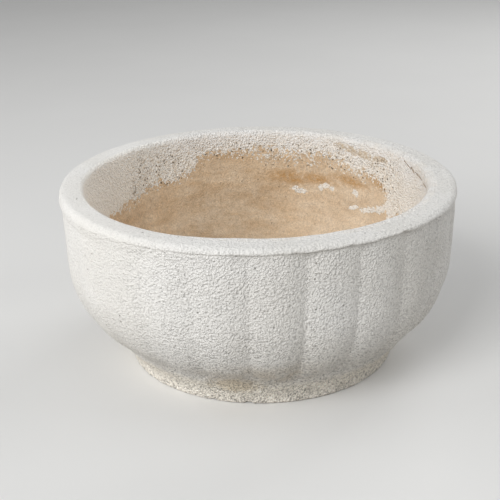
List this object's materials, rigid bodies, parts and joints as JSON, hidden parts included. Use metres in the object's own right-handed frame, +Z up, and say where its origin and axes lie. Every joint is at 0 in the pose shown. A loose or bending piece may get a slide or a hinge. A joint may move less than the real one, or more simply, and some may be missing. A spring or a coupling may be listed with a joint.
{
  "type": "stone basin planter",
  "caption": "Round cast-stone bowl planter with a rolled lip, a softly lobed wall, a flared foot ring and a drain hole in the floor.",
  "frame": {"origin": "centre of the foot's bearing face, on the ground", "axes": "+Z up along the bowl's axis, out of its mouth; -Y towards the pictured side"},
  "size_m": [0.6099, 0.61, 0.28],
  "materials": {
    "white_facing": "weathered, fine orange-peel grain, matte",
    "tan_backing": "smooth stained mortar, matte",
    "wire": "drawn mild-steel wire, dull"
  },
  "bodies": {
    "root": {"facing_shell": "white_facing", "backing_shell": "tan_backing", "rim_hoop": "wire", "wall_hoop": "wire", "belly_hoop": "wire", "floor_hoop": "wire", "upright_bars": "wire", "floor_bars": "wire"}
  },
  "joints": []
}
